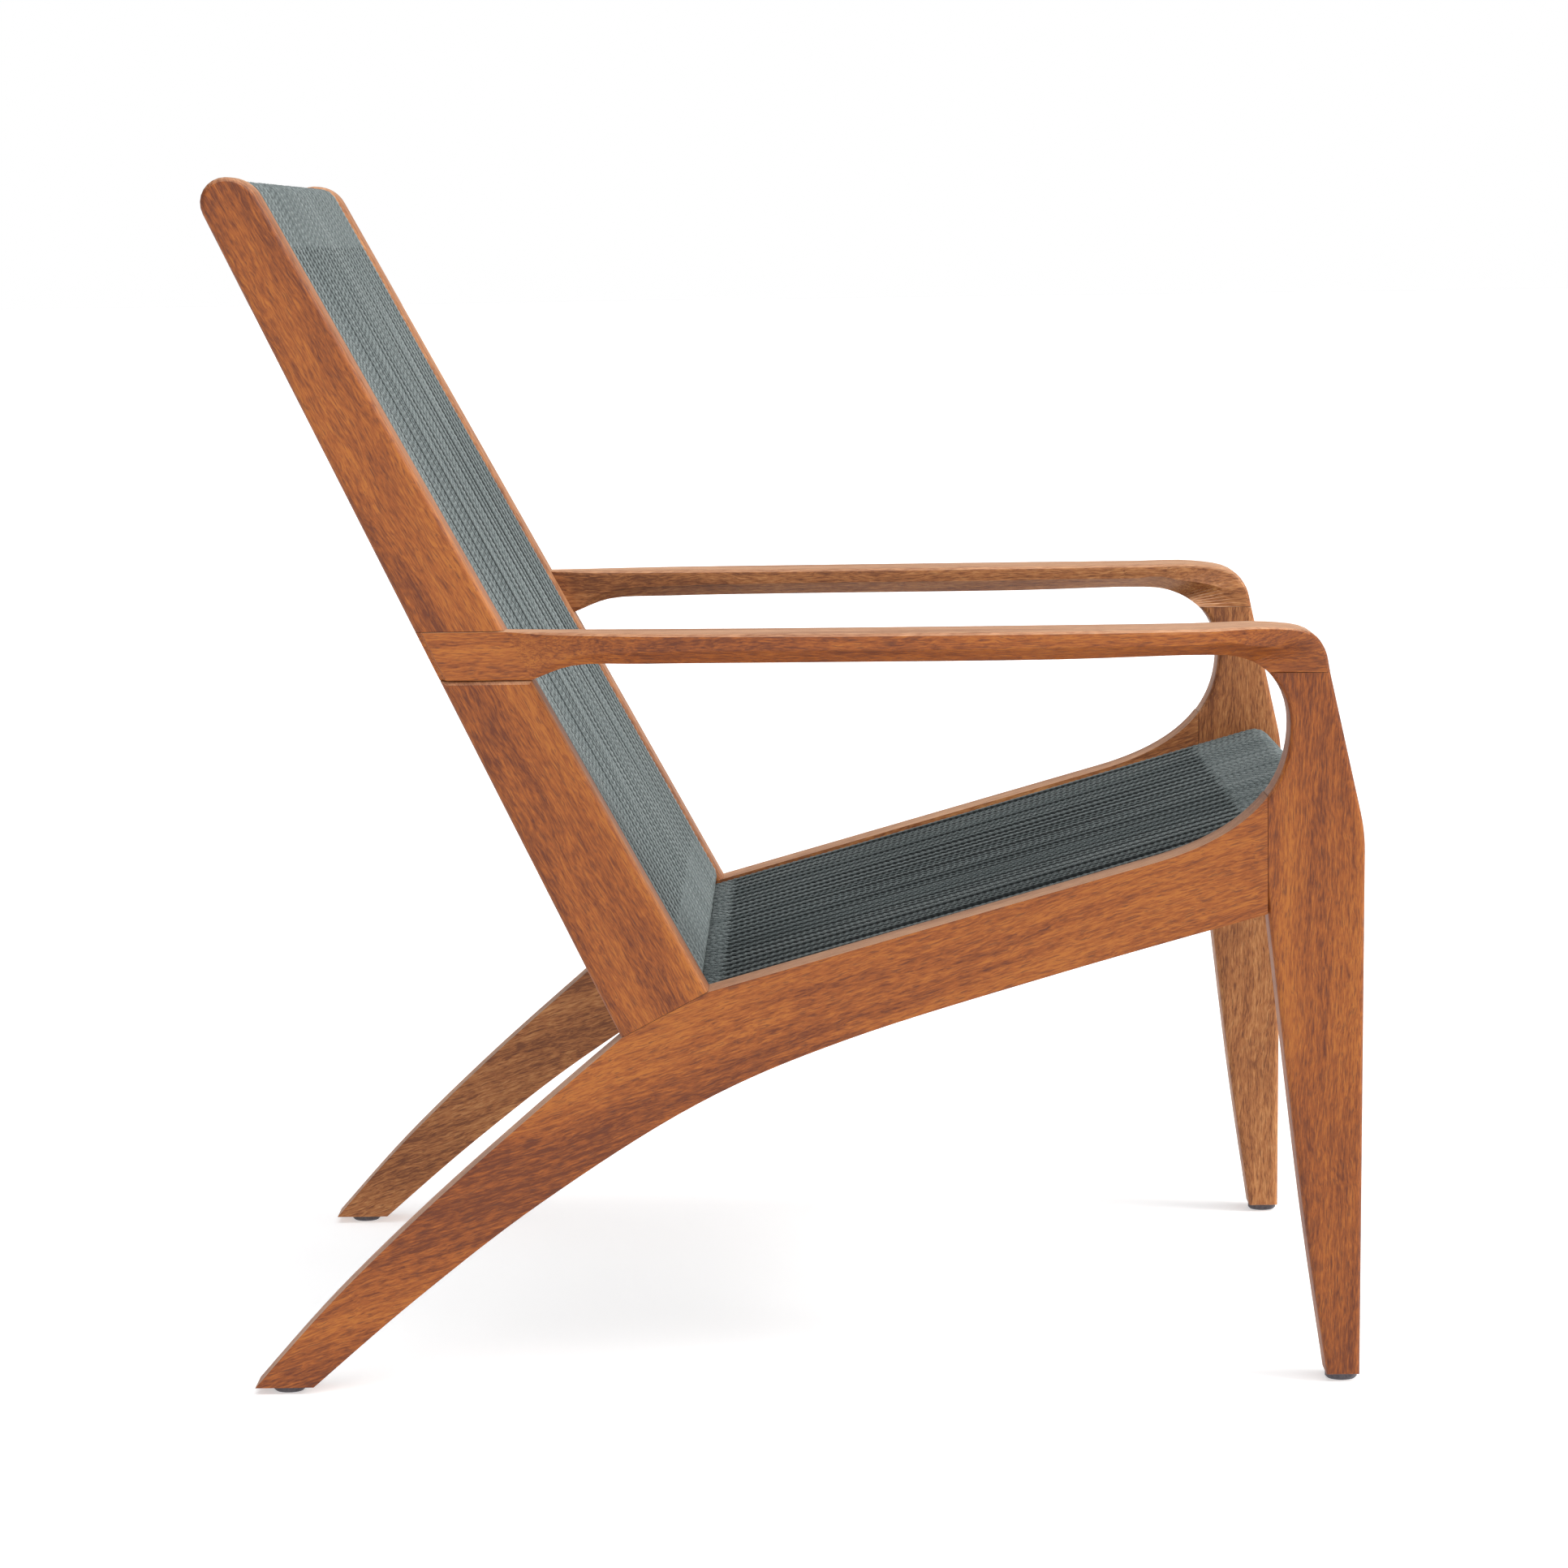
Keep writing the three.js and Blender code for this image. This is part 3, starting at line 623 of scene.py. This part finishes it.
def steel_material():
    n = Nodes("nail_steel")
    coords = n.add("TexCoord").outputs["Object"]
    brushed = n.noise(n.stretch(coords, (3000, 3000, 300)), detail=2)
    rough = n.maths("ADD", 0.22, n.maths("MULTIPLY", brushed, 0.25))
    n.set(colour=rgb(0.52, 0.53, 0.54), roughness=rough, metallic=1.0)
    return n.material


# ---------------------------------------------------------------- the chair

# Grain angle of each kind of piece, seen from the chair's right side.
GRAIN = {"back_stile": 119.0, "side_rail": 18.0, "front_leg": 88.0, "armrest": 1.0}


def build_wood():
    seed = 1
    for side in SIDES:
        for kind, grain in GRAIN.items():
            node = f"{side}_{kind}"
            slot = "arm_wood" if kind == "armrest" else "frame_wood"
            make = arm_piece if kind == "armrest" else frame_piece
            material = wood_material(node + "_wood", seed, grain, WOOD_TINT_AND_SIDE_LIGHT[side])
            finish_piece(make(node), slot, material, node)
            seed += 1


def build_cord():
    # These four are lit and shaded copies of one cord: pale and the flank darkening differ from
    # region to region as painted light and shade.
    seat_cord = cord_material("seat_cord", 0.02, 0.28, 0.93, pale=0.86)
    back_cord = cord_material("back_cord", 0.07, 0.50, 0.86, pale=0.94)
    seat_wrap = cord_material("seat_wrap", 0.06, 0.50, 0.80, pale=0.78)
    back_wrap = cord_material("back_wrap", 0.08, 0.60, 0.80, pale=0.66)
    randoms = random.Random(SEED)
    lo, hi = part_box("back_cord_front")
    half_width = (hi.x - lo.x) / 2
    for rail in ("crest_rail", "lower_back_rail", "rear_seat_rail", "front_seat_rail"):
        node = rail + "_cord"
        rings = fill_rings(node, half_width, randoms)
        add_cords(rail + "_wraps", rings, seat_wrap if "seat" in rail else back_wrap, node)
    back = long_cords(
        "lower_back_rail_cord", "crest_rail_cord", "back_cord_rear", half_width, randoms
    )
    add_cords("back_cords", back, back_cord, "back_cord_front", "back_cord_rear")
    seat = long_cords(
        "rear_seat_rail_cord", "front_seat_rail_cord", "seat_cord_under", half_width, randoms
    )
    add_cords("seat_cords", seat, seat_cord, "seat_cord_top", "seat_cord_under")


def dress_hidden_nodes():
    """Materials for the CAD nodes that show as they are."""
    hidden_wood = hidden_wood_material()
    finishes = [
        ("_tenon", "joint_wood", hidden_wood),
        ("_dowel", "joint_wood", hidden_wood),
        ("_nail", "nail_steel", steel_material()),
        ("_glide", "glide_plastic", plastic_material()),
        ("_rail", "frame_wood", rail_wood_material()),
    ]
    for name, node in NODES.items():
        if node.hide_render:
            continue
        for word, slot, material in finishes:
            if word in name:
                node.data.materials.clear()
                node.data.materials.append(material)
                break


# ---------------------------------------------------------------- studio

CAMERA_PLACE = Vector((-3.5717, -0.0168, 0.7806))
CAMERA_YAW = math.radians(-0.363)
CAMERA_PITCH = math.radians(6.378)
CAMERA_ROLL = math.radians(-0.774)
CAMERA_LENS = 111.8
SENSOR = 36.0
FLOOR_REACH = 60
FLOOR_GLOW = 0.50


def add_camera():
    data = bpy.data.cameras.new("camera")
    data.lens = CAMERA_LENS
    data.sensor_width = SENSOR
    data.clip_start, data.clip_end = 0.1, 200
    ahead = Vector((math.cos(CAMERA_YAW), -math.sin(CAMERA_YAW), 0))
    right = Vector((-math.sin(CAMERA_YAW), -math.cos(CAMERA_YAW), 0))
    up = Vector((0, 0, 1))
    look = math.cos(CAMERA_PITCH) * ahead - math.sin(CAMERA_PITCH) * up
    tilt = math.sin(CAMERA_PITCH) * ahead + math.cos(CAMERA_PITCH) * up
    x = math.cos(CAMERA_ROLL) * right + math.sin(CAMERA_ROLL) * tilt
    y = -math.sin(CAMERA_ROLL) * right + math.cos(CAMERA_ROLL) * tilt
    camera = link(bpy.data.objects.new("camera", data))
    rotation = Matrix((x, y, -look)).transposed().to_4x4()
    camera.matrix_world = Matrix.Translation(CAMERA_PLACE) @ rotation
    bpy.context.scene.camera = camera


def aim(obj, place, target):
    obj.location = place
    obj.rotation_mode = "QUATERNION"
    obj.rotation_quaternion = (Vector(target) - Vector(place)).to_track_quat("-Z", "Y")


def add_lights():
    sun = bpy.data.lights.new("key", "SUN")
    sun.energy = 2.3
    sun.angle = math.radians(30)
    sun.color = (1.0, 0.985, 0.965)
    aim(link(bpy.data.objects.new("key", sun)), (-0.9, -3.0, 2.5), (0, 0, 0.2))
    top = bpy.data.lights.new("top", "SUN")
    top.energy = 1.9
    top.angle = math.radians(60)
    aim(link(bpy.data.objects.new("top", top)), (-0.9, -0.5, 3.0), (0, 0, 0))
    fill = bpy.data.lights.new("fill", "AREA")
    fill.shape = "RECTANGLE"
    fill.size, fill.size_y = 3.0, 2.0
    fill.energy = 36
    aim(link(bpy.data.objects.new("fill", fill)), (-4.2, 0.6, 1.9), (0, 0, 0.4))


def add_world():
    """A pale horizon all round and a dimmer ceiling."""
    world = bpy.data.worlds.new("studio")
    bpy.context.scene.world = world
    world.use_nodes = True
    tree = world.node_tree
    coords = tree.nodes.new("ShaderNodeTexCoord")
    split = tree.nodes.new("ShaderNodeSeparateXYZ")
    ramp = tree.nodes.new("ShaderNodeValToRGB")
    background = tree.nodes["Background"]
    tree.links.new(coords.outputs["Generated"], split.inputs[0])
    tree.links.new(split.outputs["Z"], ramp.inputs["Fac"])
    tree.links.new(ramp.outputs["Color"], background.inputs["Color"])
    low, high = ramp.color_ramp.elements
    low.position, high.position = 0.06, 0.16
    low.color = (1, 1, 1, 1)
    high.color = (0.36, 0.36, 0.37, 1)


def add_floor():
    mesh = bpy.data.meshes.new("floor")
    signs = ((-1, -1), (1, -1), (1, 1), (-1, 1))
    corners = [(FLOOR_REACH * x, FLOOR_REACH * y, 0) for x, y in signs]
    mesh.from_pydata(corners, [], [(0, 1, 2, 3)])
    floor = link(bpy.data.objects.new("floor", mesh))
    n = Nodes("floor")
    grey = n.noise(n.add("TexCoord").outputs["Object"], scale=0.7)
    colour = n.ramp(grey, [(0.0, (0.68, 0.68, 0.685)), (1.0, (0.72, 0.72, 0.72))])
    n.set(colour=colour, roughness=0.9, specular=0.1)
    n.surface.inputs["Emission Color"].default_value = rgb(1, 1, 1)
    n.surface.inputs["Emission Strength"].default_value = FLOOR_GLOW
    mesh.materials.append(n.material)


build_wood()
build_cord()
dress_hidden_nodes()
add_floor()
add_world()
add_lights()
add_camera()
bpy.context.scene.view_settings.view_transform = "Standard"
